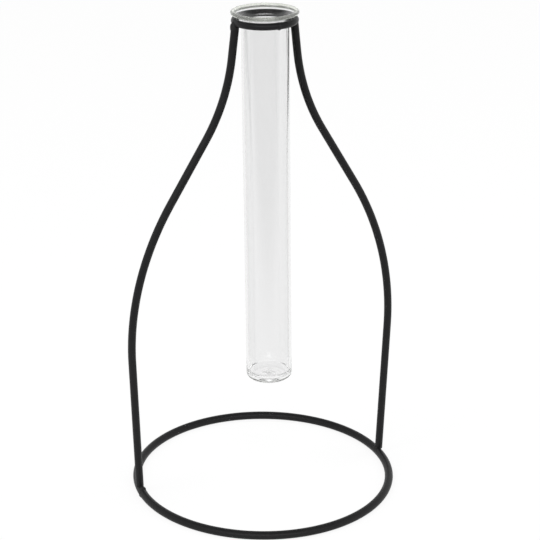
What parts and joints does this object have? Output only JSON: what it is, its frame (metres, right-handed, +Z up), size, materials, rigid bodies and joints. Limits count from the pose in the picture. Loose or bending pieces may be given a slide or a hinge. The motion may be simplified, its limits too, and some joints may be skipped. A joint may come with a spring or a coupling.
{
  "type": "test tube vase",
  "caption": "Slim glass tube with a flared lip and a flat bottom, hung in the neck of a black wire stand shaped like a bottle, for a few stems.",
  "frame": {"origin": "on the table, under the middle of the base ring", "axes": "+Z up; the two legs stand in the XZ plane, one at +X and one at -X, and the foot of the leg at -X is set 7 mm towards +Y"},
  "size_m": [0.1544, 0.1468, 0.2676],
  "materials": {
    "black_powder_coat": "satin",
    "clear_glass": "clear"
  },
  "bodies": {
    "stand": {"base_ring": "black_powder_coat", "base_ring_seam_weld": "black_powder_coat", "leg_left": "black_powder_coat", "leg_right": "black_powder_coat", "base_weld_left": "black_powder_coat", "base_weld_right": "black_powder_coat", "top_ring": "black_powder_coat", "top_ring_seam_weld": "black_powder_coat", "top_weld_left": "black_powder_coat", "top_weld_right": "black_powder_coat"},
    "tube": {"glass_tube": "clear_glass"}
  },
  "joints": [
    {"name": "tube_lift", "type": "slide", "parent": "stand", "child": "tube", "axis": [-0.0146, 0.0059, 0.9999], "range_m": [0, 0.215]}
  ]
}
